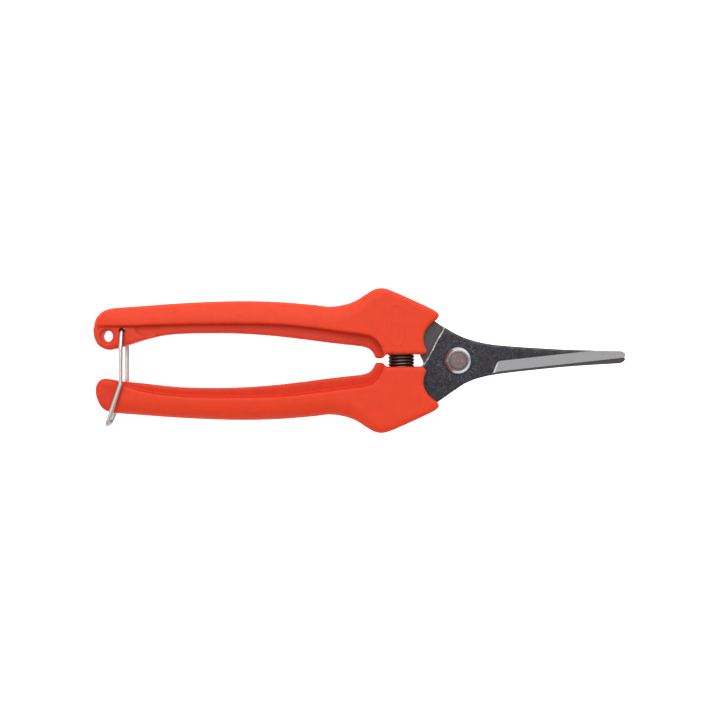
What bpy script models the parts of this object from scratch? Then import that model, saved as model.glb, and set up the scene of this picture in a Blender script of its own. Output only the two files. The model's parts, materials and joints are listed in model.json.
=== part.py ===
"""Floral snips, closed and latched, lying flat with their tips towards +X.

Sizes are in millimetres, and MM turns them into metres. Everything is drawn from the pivot: x runs
towards the tips, and in the handles' outlines s runs outward from the line between the two handles, so
that one outline serves both. The upper handle is at +y and carries the rear blade; the lower one carries
the front blade.
"""

import math

import bmesh
import bpy
from mathutils import Matrix, Vector

MM = 0.001
GAP = 0.3  # clearance between neighbouring pieces

# The pivot's place in the part's frame, whose origin is under the middle of the closed tool.
HEAD_HALF = 7.0  # half the thickness of the handles' heads, which the tool lies on
PIVOT = Vector((34.9, 0.0, HEAD_HALF))

# Handles: the body's half thickness along its length, as (x, half thickness).
BODY_HALF = (
    (-131.0, 4.0), (-122.0, 5.2), (-110.0, 5.2), (-85.0, 6.0), (-46.0, 6.2), (-34.0, 7.0), (-4.0, 7.0),
)
BODY_ROUND = 1.6
FLANGE_HALF = 3.2
FLANGE_ROUND = 0.6
RECESS_HALF = 3.6  # the lower handle's end, thinned for the catch
RECESS_ROUND = 0.8

# Blades
BLADE_THICK = 2.4
BLADE_LIFT = GAP / 2  # from the middle plane to a blade's inner face
BLADE_TILT = math.radians(1.2)  # of the line that the two blades mirror each other about
EDGE_THICK = 0.45  # left at the cutting edge
BEVEL_WIDTH = 4.1
BEVEL_LENGTH = 52.0
BEVEL_START = 0.2  # from the heel to the bevel's run-out
BEVEL_LEAN = 0.6  # of the run-out, along the edge for each mm across it
CUTTER_SPARE = 1.5  # how far a cutter reaches past what it cuts
BORE_SIDES = 32

# Pivot
RIVET_R = 3.45
RIVET_PROUD = 0.15
RIVET_CHAMFER = 0.3
COLLAR_R = 4.7
COLLAR_HIGH = 1.5
COLLAR_RIM = 0.45  # height of the collar's upright outer wall, below its bevel
COLLAR_LIP = 0.15  # width of the flat round its bore
TURNED_SIDES = 40

# Return spring
SPRING_X = -20.2
SPRING_COIL_R = 3.92  # to the middle of the wire
SPRING_WIRE_R = 0.52
SPRING_TURNS = 12
SPRING_PITCH = 1.34
POINTS_A_TURN = 14

# Catch: a loop of wire whose inturned ends sit in a hole through the upper handle.
CATCH_HINGE = Vector((-118.9, 10.5, 0.0))
CATCH_HOLE_R = 1.1
CATCH_WIRE_R = 0.76
CATCH_LEG_Z = HEAD_HALF - CATCH_WIRE_R
CATCH_PIN_Z = 0.9  # where the inturned ends stop
CATCH_TURN_Z = 4.2  # where they turn down along the handle
CATCH_SPREAD_Y = 4.6  # where the legs have reached their full spread
CATCH_KNEE_Y = -8.4
CATCH_END = (-123.6, -22.2)  # the corner where the front leg turns down to the rear one
CATCH_REAR_END = (-124.4, -22.2)
CATCH_BEND_R = 1.4
WIRE_RINGS = 2
LANYARD_HOLE = (-124.3, 8.6)
LANYARD_HOLE_R = 2.08

# Handle outlines, (x, s). Each tuple of points is one smooth curve, and curves meet at corners.
OUTER_EDGE = (
    (-116.3, 19.2), (-98.0, 20.5), (-80.0, 21.2), (-65.0, 21.0), (-52.0, 20.0), (-45.5, 19.3), (-40.5, 19.9),
    (-36.3, 21.3), (-32.5, 23.7), (-29.8, 25.2), (-27.0, 25.7), (-24.0, 25.0), (-17.5, 22.2), (-9.0, 18.2),
)
FRONT_TIP = ((-9.0, 18.2), (-6.6, 16.0))
FRONT_CUT = ((-6.6, 16.0), (-9.9, 12.7), (-11.6, 10.3), (-12.2, 7.9), (-11.9, 5.4), (-11.4, 3.4))
FRONT_CORNER = ((-11.4, 3.4), (-12.4, 2.1))
SPRING_FACE = ((-12.4, 2.1), (-26.3, 2.1))
STEP = (
    (-26.3, 2.1), (-26.9, 4.2), (-28.2, 6.5), (-29.9, 8.0), (-32.4, 9.0), (-42.0, 10.3), (-55.0, 12.0),
    (-66.0, 12.9), (-80.0, 13.1), (-94.0, 13.0),
)
UPPER_STEP_END = ((-94.0, 13.0), (-106.0, 12.6), (-116.0, 12.2), (-128.9, 12.2))
UPPER_BODY_END = ((-128.9, 12.2), (-127.3, 15.4), (-124.6, 17.7), (-121.3, 18.7), (-116.3, 19.2))
LOWER_STEP_END = ((-94.0, 13.0), (-106.0, 12.0), (-112.5, 10.7), (-118.2, 9.2))
SHOULDER = ((-118.2, 9.2), (-121.3, 18.8))
LOWER_BODY_END = ((-121.3, 18.8), (-116.3, 19.2))
STOP_LUG = ((-24.2, 2.8), (-25.6, 1.8), (-26.6, 0.75))
STOP_FACE = ((-26.6, 0.75), (-29.1, 0.75))
INNER_EDGE = (
    (-29.1, 0.75), (-30.0, 2.5), (-31.4, 4.1), (-33.8, 4.9), (-37.0, 5.3), (-46.0, 6.3), (-56.0, 7.6),
    (-66.0, 8.7), (-78.0, 9.5), (-90.0, 9.6), (-98.0, 9.4), (-104.0, 8.9),
)
UPPER_TAB = (
    (-104.0, 8.9), (-111.0, 7.3), (-119.0, 4.8), (-124.0, 3.7), (-127.3, 5.1), (-128.9, 7.5), (-129.6, 10.8),
    (-128.2, 15.7), (-125.2, 18.0),
)
LOWER_TAB = (
    (-104.0, 8.9), (-112.0, 8.0), (-119.5, 7.3), (-126.2, 6.4), (-128.6, 9.0), (-128.5, 13.0), (-126.2, 17.1),
)
FLANGE_ROOT = ((-118.0, 15.8), (-66.0, 16.8), (-45.0, 15.5), (-26.5, 15.0))
RECESS = ((-119.0, 8.0), (-125.8, 7.1), (-127.9, 9.4), (-127.8, 12.9), (-125.9, 16.5), (-122.4, 18.2))
RECESS_ROOT = ((-122.4, 18.2), (-117.5, 17.2), (-115.5, 12.0))

# The front blade's outline, (x, y). The rear blade mirrors it, but for its left edge and its tang's root.
FRONT_LEFT = ((-13.0, -2.0), (-11.8, -0.7), (-9.2, 3.8), (-8.1, 6.2), (-6.6, 8.8), (-5.5, 10.6), (-4.9, 12.0))
REAR_LEFT = ((-13.0, -2.0), (-12.3, -0.5), (-11.9, 0.9), (-11.1, 2.4), (-9.0, 5.2), (-6.6, 8.8), (-4.9, 12.0))
BLADE_SPINE = (
    (-4.9, 12.0), (-1.9, 10.15), (2.4, 8.1), (6.6, 6.8), (10.9, 5.9), (17.3, 5.2), (29.0, 4.4), (41.0, 3.8),
    (58.0, 3.45),
)
BLADE_TIP = ((58.0, 3.4), (59.5, 2.6), (59.9, 1.6), (59.5, 0.8))
BLADE_EDGE = ((59.5, 0.8), (12.6, -4.5))
BLADE_HEEL = ((12.6, -4.5), (7.0, -6.3), (2.4, -8.15))
FRONT_ROOT = ((2.4, -8.15), (-2.0, -11.1), (-7.0, -14.6))
REAR_ROOT = ((2.4, -8.0), (-2.0, -9.9), (-4.6, -11.75), (-7.6, -13.8))
TANG = (
    (-12.0, -17.4), (-24.0, -21.5), (-32.0, -18.6), (-44.0, -16.4), (-58.0, -16.6), (-60.0, -15.6),
    (-58.0, -14.6), (-44.0, -13.2), (-30.0, -12.4), (-24.0, -10.6), (-14.4, -10.2), (-13.9, -4.0),
)

# Each material's colour, roughness and metallic value.
PLASTIC = ((0.86, 0.085, 0.036), 0.45, 0.0)
BLADE_STEEL = ((0.05, 0.055, 0.065), 0.35, 1.0)
POLISHED_STEEL = ((0.62, 0.61, 0.6), 0.2, 1.0)
RIVET_STEEL = ((0.33, 0.29, 0.27), 0.4, 1.0)
SPRING_STEEL = ((0.05, 0.035, 0.03), 0.35, 1.0)
BRIGHT_WIRE = ((0.6, 0.57, 0.53), 0.25, 1.0)


def clear_scene():
    for thing in list(bpy.data.objects):
        bpy.data.objects.remove(thing, do_unlink=True)


def material(name, look):
    colour, roughness, metallic = look
    made = bpy.data.materials.new(name)
    made.use_nodes = True
    shader = made.node_tree.nodes["Principled BSDF"]
    shader.inputs["Base Color"].default_value = (*colour, 1.0)
    shader.inputs["Roughness"].default_value = roughness
    shader.inputs["Metallic"].default_value = metallic
    return made


def smooth_curve(points, steps=2):
    """A Catmull-Rom curve through the points, without its last point. Two points give a straight line."""
    points = [Vector(p) for p in points]
    if len(points) == 2:
        return points[:1]
    padded = [2 * points[0] - points[1], *points, 2 * points[-1] - points[-2]]
    made = []
    for a, b, c, d in zip(padded, padded[1:], padded[2:], padded[3:]):
        for t in (step / steps for step in range(steps)):
            pull = (2 * a - 5 * b + 4 * c - d) * t**2 + (3 * b - a - 3 * c + d) * t**3
            made.append(0.5 * (2 * b + (c - a) * t + pull))
    return made


def outline(*curves):
    """One closed outline, anticlockwise, from curves that follow each other."""
    points = [point for curve in curves for point in smooth_curve(curve)]
    turned = sum(a.x * b.y - a.y * b.x for a, b in zip(points, points[1:] + points[:1]))
    return points if turned > 0 else points[::-1]


def inset(points, distance):
    """An anticlockwise outline moved inward by distance, or outward when it is negative."""
    moved = []
    for before, here, after in zip(points[-1:] + points[:-1], points, points[1:] + points[:1]):
        first = (here - before).normalized()
        second = (after - here).normalized()
        first_normal = Vector((-first.y, first.x))
        mitre = (first_normal + Vector((-second.y, second.x))).normalized()
        moved.append(here + mitre * distance / max(mitre.dot(first_normal), 0.5))
    return moved


def on_side(points, side):
    """A handle outline on the upper (1) or lower (-1) side of the line between the handles, anticlockwise."""
    return points if side > 0 else [Vector((p.x, -p.y)) for p in points][::-1]


def new_object(name, bm, look=None):
    """Turns a bmesh in millimetres into an object in metres."""
    bmesh.ops.recalc_face_normals(bm, faces=bm.faces)
    bmesh.ops.scale(bm, vec=(MM, MM, MM), verts=bm.verts)
    mesh = bpy.data.meshes.new(name)
    bm.to_mesh(mesh)
    bm.free()
    made = bpy.data.objects.new(name, mesh)
    bpy.context.scene.collection.objects.link(made)
    if look:
        mesh.materials.append(look)
        mesh.shade_smooth()
        mesh.set_sharp_from_angle(angle=math.radians(30))
    return made


def combine(target, bm, operation):
    """Joins a shape to target (UNION) or cuts it out (DIFFERENCE). The shape stays as a hidden helper."""
    helper = new_object(f"{target.name}_shape_{len(target.modifiers)}", bm)
    helper.hide_render = True
    helper.display_type = "WIRE"
    helper.parent = target
    modifier = target.modifiers.new(operation.title(), "BOOLEAN")
    modifier.operation = operation
    modifier.object = helper
    modifier.solver = "EXACT"


def stack_rings(rings):
    """A closed bmesh whose sides join the rings of points in turn, with a flat face on each end."""
    bm = bmesh.new()
    loops = [[bm.verts.new(p) for p in ring] for ring in rings]
    for low, high in zip(loops, loops[1:]):
        for i in range(len(low)):
            bm.faces.new((low[i - 1], low[i], high[i], high[i - 1]))
    bm.faces.new(loops[0][::-1])
    bm.faces.new(loops[-1])
    return bm


def slab(points, low, high):
    """A plate with square edges between two heights."""
    return stack_rings([[(*p, low) for p in points], [(*p, high) for p in points]])


def rounded_slab(points, half, radius, steps=2):
    """A plate from -half to half whose rims are rounded."""
    turns = [math.pi / 2 * step / steps for step in range(steps + 1)]
    profile = [(radius * (1 - math.cos(t)), half - radius + radius * math.sin(t)) for t in turns]
    rings = [[(*p, -height) for p in inset(points, depth)] for depth, height in profile[::-1]]
    rings += [[(*p, height) for p in inset(points, depth)] for depth, height in profile]
    return stack_rings(rings)


def cylinder(radius, low, high, centre=(0.0, 0.0)):
    turns = [2 * math.pi * i / BORE_SIDES for i in range(BORE_SIDES)]
    ring = [(centre[0] + radius * math.cos(t), centre[1] + radius * math.sin(t)) for t in turns]
    return slab(ring, low, high)


def turned_ring(profile):
    """A closed profile of (radius, height) points swept round the pivot."""
    bm = bmesh.new()
    loops = []
    for radius, height in profile:
        turns = [2 * math.pi * i / TURNED_SIDES for i in range(TURNED_SIDES)]
        loops.append([bm.verts.new((radius * math.cos(t), radius * math.sin(t), height)) for t in turns])
    for low, high in zip(loops, loops[1:] + loops[:1]):
        for i in range(TURNED_SIDES):
            bm.faces.new((low[i - 1], low[i], high[i], high[i - 1]))
    return bm


def thin_along_x(bm, stations):
    """Scales a body of half thickness HEAD_HALF to the half thickness given at each station along x."""
    for x, _ in stations[1:-1]:
        everything = bm.verts[:] + bm.edges[:] + bm.faces[:]
        bmesh.ops.bisect_plane(bm, geom=everything, plane_co=(x, 0, 0), plane_no=(1, 0, 0), dist=1e-4)
    for vertex in bm.verts:
        for (x0, half0), (x1, half1) in zip(stations, stations[1:]):
            if x0 < vertex.co.x <= x1:
                half = half0 + (half1 - half0) * (vertex.co.x - x0) / (x1 - x0)
                vertex.co.z *= half / HEAD_HALF
                break


def blade_outline(side):
    """A blade with its tang, anticlockwise: the front blade (-1) or the rear one (1)."""
    left = FRONT_LEFT if side < 0 else REAR_LEFT
    steel = [p for c in (left, BLADE_SPINE, BLADE_TIP, BLADE_EDGE, BLADE_HEEL) for p in smooth_curve(c)]
    if side < 0:
        return (steel + [Vector(p) for p in FRONT_ROOT + TANG])[::-1]
    tilt = Matrix.Rotation(2 * BLADE_TILT, 2)
    steel = [tilt @ Vector((p.x, -p.y)) for p in steel]
    return steel + [Vector((x, -y)) for x, y in REAR_ROOT + TANG]


def blade_heights(side, spare=0.0):
    """Lowest and highest z of a blade: the front one (-1) lies over the rear one (1)."""
    near, far = BLADE_LIFT - spare, BLADE_LIFT + BLADE_THICK + spare
    return (near, far) if side < 0 else (-far, -near)


def bevel_cutter(side):
    """The wedge that grinding takes off beside the cutting edge, from its run-out to past the tip."""
    tip, heel = Vector(BLADE_EDGE[0]), Vector(BLADE_EDGE[1])
    along = (tip - heel).normalized()
    across = Vector((-along.y, along.x))
    slope = (BLADE_THICK - EDGE_THICK) / BEVEL_WIDTH
    far_width = BEVEL_WIDTH + CUTTER_SPARE
    low = []
    for far, width in ((0, -CUTTER_SPARE), (1, -CUTTER_SPARE), (1, far_width), (0, far_width)):
        spot = heel + along * (BEVEL_LENGTH if far else BEVEL_START + BEVEL_LEAN * width) + across * width
        low.append((*spot, BLADE_LIFT + EDGE_THICK + slope * width))
    top = BLADE_LIFT + BLADE_THICK + 2 * CUTTER_SPARE
    bm = stack_rings([low, [(x, y, top) for x, y, _ in low]])
    if side > 0:
        turn = Matrix.Rotation(2 * BLADE_TILT, 4, "Z") @ Matrix.Rotation(math.pi, 4, "X")
        bmesh.ops.transform(bm, matrix=turn, verts=bm.verts)
    return bm


def blade(name, side, steel):
    made = new_object(name, slab(blade_outline(side), *blade_heights(side)), steel)
    combine(made, bevel_cutter(side), "DIFFERENCE")
    combine(made, cylinder(RIVET_R + GAP, -HEAD_HALF, HEAD_HALF), "DIFFERENCE")
    return made


def tang_slot(side):
    """The room that the tang fills in its handle."""
    return slab(inset(blade_outline(side), -GAP), *blade_heights(side, GAP))


def spring_pocket(side):
    """A round pocket for one end of the spring, sunk into the handle's inner face."""
    deep = SPRING_TURNS * SPRING_PITCH / 2 + SPRING_WIRE_R + GAP
    bm = cylinder(SPRING_COIL_R + SPRING_WIRE_R + GAP, 0, deep)
    turn = Matrix.Translation((SPRING_X, 0, 0)) @ Matrix.Rotation(-side * math.pi / 2, 4, "X")
    bmesh.ops.transform(bm, matrix=turn, verts=bm.verts)
    return bm


def handle(name, side, plastic, body_curves, tab):
    """A handle: its thick body, the thin flange along its inner edge, and the room for tang and spring."""
    bm = rounded_slab(on_side(outline(*body_curves), side), HEAD_HALF, BODY_ROUND)
    thin_along_x(bm, BODY_HALF)
    made = new_object(name, bm, plastic)
    root = (tab[-1], FLANGE_ROOT[0])
    flange = on_side(outline(STOP_LUG, STOP_FACE, INNER_EDGE, tab, root, FLANGE_ROOT), side)
    combine(made, rounded_slab(flange, FLANGE_HALF, FLANGE_ROUND), "UNION")
    combine(made, tang_slot(side), "DIFFERENCE")
    combine(made, spring_pocket(side), "DIFFERENCE")
    return made


def handle_upper(plastic):
    front = (OUTER_EDGE, FRONT_TIP, FRONT_CUT, FRONT_CORNER, SPRING_FACE)
    curves = front + (STEP, UPPER_STEP_END, UPPER_BODY_END)
    made = handle("handle_upper", 1, plastic, curves, UPPER_TAB)
    combine(made, cylinder(CATCH_HOLE_R, -HEAD_HALF, HEAD_HALF, CATCH_HINGE.xy), "DIFFERENCE")
    combine(made, cylinder(LANYARD_HOLE_R, -HEAD_HALF, HEAD_HALF, LANYARD_HOLE), "DIFFERENCE")
    return made


def handle_lower(plastic):
    curves = (
        OUTER_EDGE, FRONT_TIP, FRONT_CUT, FRONT_CORNER, SPRING_FACE, STEP, LOWER_STEP_END, SHOULDER,
        LOWER_BODY_END,
    )
    made = handle("handle_lower", -1, plastic, curves, LOWER_TAB)
    recess = on_side(outline(RECESS, RECESS_ROOT), -1)
    combine(made, rounded_slab(recess, RECESS_HALF, RECESS_ROUND), "UNION")
    return made


def pivot_rivet(steel):
    end = BLADE_LIFT + BLADE_THICK + GAP + COLLAR_HIGH + RIVET_PROUD
    profile = (
        (RIVET_R - RIVET_CHAMFER, -end), (RIVET_R, RIVET_CHAMFER - end), (RIVET_R, end - RIVET_CHAMFER),
        (RIVET_R - RIVET_CHAMFER, end),
    )
    turns = [2 * math.pi * i / TURNED_SIDES for i in range(TURNED_SIDES)]
    rings = [[(r * math.cos(t), r * math.sin(t), z) for t in turns] for r, z in profile]
    return new_object("pivot_rivet", stack_rings(rings), steel)


def collar(name, side, steel):
    """A bevelled ring round the rivet's end: at the front (1) or the rear (-1)."""
    low = BLADE_LIFT + BLADE_THICK + GAP
    high = low + COLLAR_HIGH
    bore = RIVET_R + GAP
    profile = (
        (bore, low), (COLLAR_R, low), (COLLAR_R, low + COLLAR_RIM), (bore + COLLAR_LIP, high), (bore, high)
    )
    return new_object(name, turned_ring([(r, side * z) for r, z in profile]), steel)


def tube(name, points, radius, look):
    """A round wire along the points, closed at both ends."""
    curve = bpy.data.curves.new(name, "CURVE")
    curve.dimensions = "3D"
    curve.bevel_depth = radius * MM
    curve.bevel_resolution = WIRE_RINGS
    curve.use_fill_caps = True
    spline = curve.splines.new("POLY")
    spline.points.add(len(points) - 1)
    for spot, point in zip(spline.points, points):
        spot.co = (*(Vector(point) * MM), 1.0)
    curve.materials.append(look)
    made = bpy.data.objects.new(name, curve)
    bpy.context.scene.collection.objects.link(made)
    return made


def return_spring(steel):
    """A coil across the gap between the handles, its axis along y."""
    points = []
    for i in range(SPRING_TURNS * POINTS_A_TURN + 1):
        turn = 2 * math.pi * i / POINTS_A_TURN
        y = SPRING_PITCH * (i / POINTS_A_TURN - SPRING_TURNS / 2)
        points.append((SPRING_X + SPRING_COIL_R * math.sin(turn), y, SPRING_COIL_R * math.cos(turn)))
    return tube("return_spring", points, SPRING_WIRE_R, steel)


def bent(points, radius, steps=4):
    """The points of a wire with each inner corner rounded to the radius."""
    made = [points[0]]
    for before, corner, after in zip(points, points[1:], points[2:]):
        back = (before - corner).normalized()
        ahead = (after - corner).normalized()
        half = back.angle(ahead) / 2
        middle = corner + (back + ahead).normalized() * radius / math.sin(half)
        first = corner + back * radius / math.tan(half) - middle
        last = corner + ahead * radius / math.tan(half) - middle
        made += [middle + radius * first.slerp(last, step / steps) for step in range(steps + 1)]
    return made + [points[-1]]


def catch_wire(wire):
    """The front leg runs from its pin down to the loop's end, and the rear one mirrors it back up."""
    front = [
        (*CATCH_HINGE.xy, CATCH_PIN_Z), (*CATCH_HINGE.xy, CATCH_TURN_Z),
        (CATCH_HINGE.x, CATCH_SPREAD_Y, CATCH_LEG_Z), (CATCH_HINGE.x, CATCH_KNEE_Y, CATCH_LEG_Z),
    ]
    ends = [(*CATCH_END, CATCH_LEG_Z), (*CATCH_REAR_END, -CATCH_LEG_Z)]
    rear = [(x, y, -z) for x, y, z in front[::-1]]
    points = bent([Vector(p) for p in front + ends + rear], CATCH_BEND_R)
    return tube("catch_wire", points, CATCH_WIRE_R, wire)


def axis_at(name, place):
    """An empty on a joint's axis."""
    made = bpy.data.objects.new(name, None)
    made.location = place * MM
    bpy.context.scene.collection.objects.link(made)
    return made


def hang(pieces, empty):
    """Parents pieces that are drawn from the pivot to an empty."""
    for piece in pieces:
        piece.parent = empty
        piece.location = PIVOT * MM - empty.location


def main():
    clear_scene()
    plastic = material("handle_plastic", PLASTIC)
    blade_steel = material("blade_steel", BLADE_STEEL)
    polished = material("polished_steel", POLISHED_STEEL)
    upper = [
        handle_upper(plastic),
        blade("blade_rear", 1, blade_steel),
        pivot_rivet(material("rivet_steel", RIVET_STEEL)),
        collar("collar_front", 1, polished),
        collar("collar_rear", -1, polished),
        return_spring(material("spring_steel", SPRING_STEEL)),
    ]
    lower = [handle_lower(plastic), blade("blade_front", -1, blade_steel)]
    hang(upper, axis_at("upper_half", PIVOT))
    hang(lower, axis_at("blade_pivot_axis", PIVOT))
    hang([catch_wire(material("bright_wire", BRIGHT_WIRE))], axis_at("catch_axis", PIVOT + CATCH_HINGE))


main()
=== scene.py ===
"""The looks of the floral snips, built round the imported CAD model.

Shapes are drawn in millimetres from the pivot, as in the CAD: x runs towards the tips and z up from the
middle plane. The handles' outlines are the upper one's, and the lower one is mirrored. The blades' outlines
are the front one's, and the rear one is turned over. Every plate-like piece is a net of triangles over its
outline, lifted to a height worked out from its distance to edges, steps and holes.
"""

import json
import math

import bmesh
import bpy
import numpy as np
from mathutils import Matrix, Vector
from mathutils.geometry import delaunay_2d_cdt


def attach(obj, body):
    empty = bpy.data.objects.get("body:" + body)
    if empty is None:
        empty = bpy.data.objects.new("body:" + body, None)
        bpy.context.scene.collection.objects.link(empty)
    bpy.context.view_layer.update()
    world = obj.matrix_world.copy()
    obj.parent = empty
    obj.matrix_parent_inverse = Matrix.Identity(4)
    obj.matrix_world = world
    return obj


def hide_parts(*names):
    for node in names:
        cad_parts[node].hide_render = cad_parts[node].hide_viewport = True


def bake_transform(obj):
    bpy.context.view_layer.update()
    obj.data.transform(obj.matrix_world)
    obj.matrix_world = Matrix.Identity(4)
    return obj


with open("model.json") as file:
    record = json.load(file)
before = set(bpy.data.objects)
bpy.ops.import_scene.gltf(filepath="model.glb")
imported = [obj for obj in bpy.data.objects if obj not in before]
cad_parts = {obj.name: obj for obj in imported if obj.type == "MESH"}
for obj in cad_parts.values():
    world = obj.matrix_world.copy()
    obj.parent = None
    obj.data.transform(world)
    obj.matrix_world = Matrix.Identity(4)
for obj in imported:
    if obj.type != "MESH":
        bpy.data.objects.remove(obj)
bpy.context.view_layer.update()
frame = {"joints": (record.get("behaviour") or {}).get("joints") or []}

MM = 0.001
JOINTS = {joint["name"]: joint for joint in frame["joints"]}
PIVOT = Vector(JOINTS["blade_pivot"]["pos_m"])
HINGE = (Vector(JOINTS["catch_swing"]["pos_m"]) - PIVOT) / MM

# Handles
HANDLE_MESH = 0.7  # size of the net's triangles away from its lines
BODY_HALF = (  # the body's half thickness at places along x
    (-131.0, 4.0), (-122.0, 5.2), (-110.0, 5.2), (-85.0, 6.0), (-46.0, 6.2), (-34.0, 7.0), (-4.0, 7.0),
)
EASE = 4.0  # how far the body's thickness is averaged along x
ROUND_WIDE = (  # how wide the body's outer edge is rounded at places along x
    (-129.0, 3.0), (-118.0, 6.0), (-60.0, 7.2), (-42.0, 6.0), (-31.0, 3.4), (-22.0, 1.8), (-9.0, 1.4),
)
ROUND_DEEP = (  # and how deep
    (-129.0, 2.0), (-118.0, 2.6), (-60.0, 3.0), (-42.0, 2.6), (-31.0, 1.7), (-22.0, 1.2), (-9.0, 1.1),
)
ROUND_BLEND = 3  # points on each side that an edge's rounding is averaged over
HEAD_ROUND = (1.1, 0.9)  # of the head's other edges: how wide and how deep
STEP_ROUND = (0.7, 0.6)
SHOULDER_ROUND = (0.45, 0.4)
SHOULDER_FROM = (117.0, 118.5)  # left of the pivot, where the step's rounding turns into the shoulder's
WALL_DRAFT = 0.28  # how far the step's wall leans out over its height
FILLET = 0.4
FLANGE_HALF = 3.2
FLANGE_ROUND = (0.9, 0.7)
FLANGE_ROUND_TO = (113.0, 121.0)  # left of the pivot, where this turns into the tab's or the end's rounding
FLANGE_DISH = 0.55  # how far the flange falls from its edge to the step
TROUGH_DEPTH = 0.7  # of the hollow beside the step, right of the upper handle's tab
TROUGH_WIDTH = 1.5
TROUGH_REACH = ((102.0, 106.0), (111.5, 113.5))  # left of the pivot, where it deepens and where it runs out
TAB_RISE = 0.8  # of the upper handle's end tab over its flange
TAB_BLEND = 1.4
TAB_ROUND = (1.3, 1.0)
END_HALF = 3.4  # the lower handle's end, thinned for the catch
END_ROUND = (1.8, 1.2)
END_FROM = (117.5, 121.0)  # left of the pivot, where the flange turns into the end
HOLE_ROUND = (1.0, 0.75)
PIN_HOLE_ROUND = (0.25, 0.2)
LANYARD_HOLE = ((-124.3, 8.6), 2.08)
PIN_HOLE = ((HINGE.x, HINGE.y), 1.1)
WALL_BULGE = 0.1  # of the side walls at the parting line
PARTING_RIDGE = 0.04
WALL_INSET = 0.145  # of the side walls' edges: the bulge, the ridge and a hair more
WALL_ROWS = (0.12, 0.25, 0.38, 0.47, 0.5, 0.53, 0.62, 0.75, 0.88)  # of the side walls, down their height
WELL_OUT = (40.0, 60.0)  # a corner well outside the handles
SLOT_GAP = 0.1
SLOT_MESH = 4.0

OUTER_EDGE = (
    (-116.3, 19.2), (-98.0, 20.5), (-80.0, 21.2), (-65.0, 21.0), (-52.0, 20.0), (-45.5, 19.3), (-40.5, 19.9),
    (-36.3, 21.3), (-32.5, 23.7), (-29.8, 25.2), (-27.0, 25.7), (-24.0, 25.0), (-17.5, 22.2), (-10.4, 18.9),
    (-7.9, 17.5), (-6.7, 16.1), (-7.3, 14.6),
)
FRONT_CUT = ((-7.3, 14.6), (-9.9, 12.7), (-11.6, 10.3), (-12.2, 7.9), (-11.9, 5.4), (-11.2, 3.8))
FRONT_CORNER = ((-11.2, 3.8), (-11.2, 2.7), (-12.2, 2.15), (-13.5, 2.1))
LOWER_CORNER = ((-11.2, 3.8), (-11.55, 3.0), (-12.2, 2.35), (-13.5, 2.1))  # cut back from the rear blade
SPRING_FACE = ((-13.5, 2.1), (-25.3, 2.1))
STEP = (
    (-26.0, -1.0), (-26.2, 1.0), (-26.4, 2.5), (-26.9, 4.2), (-28.2, 6.5), (-29.9, 8.0), (-32.4, 9.0),
    (-42.0, 10.3), (-55.0, 12.0), (-66.0, 12.9), (-80.0, 13.1), (-94.0, 13.0),
)
UPPER_STEP_END = ((-94.0, 13.0), (-106.0, 12.6), (-116.0, 12.2), (-133.0, 12.2))
LOWER_STEP_END = ((-94.0, 13.0), (-106.0, 12.0), (-112.5, 10.7), (-118.2, 9.2))
SHOULDER = ((-118.2, 9.2), (-122.8, 23.5))
UPPER_END = ((-129.3, 12.2), (-129.15, 13.2), (-128.3, 15.4), (-126.0, 17.6), (-122.5, 18.7), (-116.3, 19.2))
LOWER_END = ((-122.7, 18.7), (-116.3, 19.2))
STOP_LUG = (
    (-25.3, 2.1), (-25.9, 1.5), (-26.7, 0.85), (-28.2, 0.75), (-29.2, 1.0), (-30.1, 2.7), (-31.5, 4.1),
    (-33.8, 4.9), (-37.0, 5.3),
)
INNER_EDGE = (
    (-37.0, 5.3), (-46.0, 6.3), (-56.0, 7.6), (-66.0, 8.7), (-78.0, 9.5), (-90.0, 9.6), (-98.0, 9.4),
)
UPPER_TAB = (
    (-104.5, 8.8), (-111.0, 7.3), (-119.0, 4.8), (-124.0, 3.7), (-127.3, 5.1), (-128.8, 7.5), (-129.3, 9.8),
    (-129.35, 11.3), (-129.3, 12.2),
)
LOWER_TAB = (
    (-105.0, 8.8), (-112.0, 8.0), (-119.5, 7.3), (-126.0, 6.4), (-128.5, 9.0), (-128.4, 13.0), (-126.2, 17.1),
    (-122.7, 18.7),
)
GROOVE = (
    (-95.0, 4.5), (-103.0, 7.5), (-109.4, 8.7), (-113.0, 9.5), (-114.1, 10.8), (-113.4, 12.2), (-110.0, 14.0),
)
GROOVE_FAR = ((-110.0, 40.0), (40.0, 40.0), (40.0, -40.0), (-95.0, -40.0))

# A plain oblong border with bars in it, raised a little on the upper handle's head.
MARK_CENTRE = (-21.8, 12.6)
MARK_STRAIGHT = 5.0  # half the length of its straight sides
MARK_RADIUS = 2.2  # of its round ends
MARK_LINE = 0.34
MARK_RISE = 0.05
MARK_BARS = 9
MARK_BAR_HALF = (1.0, 0.2)

# Blades
BLADE_MESH = 0.8
BLADE_LIFT = 0.15  # from the middle plane to a blade's inner face
BLADE_TOP = 2.55
BLADE_TILT = math.radians(1.2)  # of the line that the two blades mirror each other about
BLADE_LEAST = 0.3  # the least thickness that is left anywhere
EDGE_TOP = 0.6  # height of the cutting edge over the middle plane
BEVEL_WIDTH = 3.68
BEVEL_CORNER = 0.9
BEVEL_START = -0.1  # from the heel to the bevel's run-out
BEVEL_LEAN = 0.57  # of the run-out, along the edge for each mm across it
BEVEL_RUN_OUT = 0.9
BEVEL_LENGTH = 52.0
BEVEL_SPARE = (8.0, 4.0)  # how far the ground area reaches below the edge, at the tip and at the heel
PIVOT_HOLE_R = 3.75
FRONT_LEFT = (
    (-13.0, -2.0), (-11.8, -0.7), (-9.2, 3.8), (-8.1, 6.2), (-6.6, 8.8), (-5.5, 10.6), (-4.9, 12.0),
)
REAR_LEFT = (
    (-13.0, -2.0), (-12.3, -0.5), (-11.9, 0.9), (-11.1, 2.4), (-9.0, 5.2), (-6.6, 8.8), (-4.9, 12.0),
)
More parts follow.
